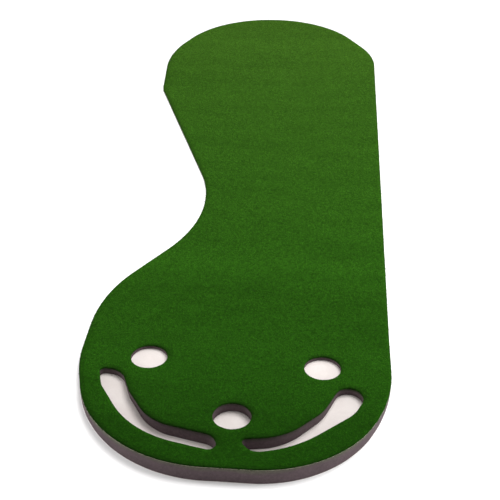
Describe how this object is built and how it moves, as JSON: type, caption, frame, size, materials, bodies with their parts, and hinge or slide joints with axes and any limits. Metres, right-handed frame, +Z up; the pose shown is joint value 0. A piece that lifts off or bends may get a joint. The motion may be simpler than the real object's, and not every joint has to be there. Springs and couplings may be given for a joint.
{
  "type": "practice putting mat",
  "caption": "Kidney-shaped putting mat of green artificial turf with a foam ramp at one end, round cups and curved sand traps cut through to a white floor.",
  "frame": {"origin": "on the floor, under the middle of the mat's box", "axes": "+Z up, +Y along the mat from the cup end to the far end, +X towards the straight side"},
  "size_m": [0.8641, 2.743, 0.0516],
  "materials": {
    "turf_pile": "short dense pile",
    "woven_backing": "woven",
    "latex": "matte",
    "underlay_foam": "fine-celled foam",
    "wedge_foam": "cut foam",
    "adhesive": "matte film",
    "white_liner": "felted"
  },
  "bodies": {
    "root": {"pile_face": "turf_pile", "primary_backing": "woven_backing", "latex_precoat": "latex", "foam_underlay": "underlay_foam", "ramp_bond_film": "adhesive", "ramp_foam": "wedge_foam", "liner_bond_film": "adhesive", "base_liner": "white_liner"}
  },
  "joints": []
}
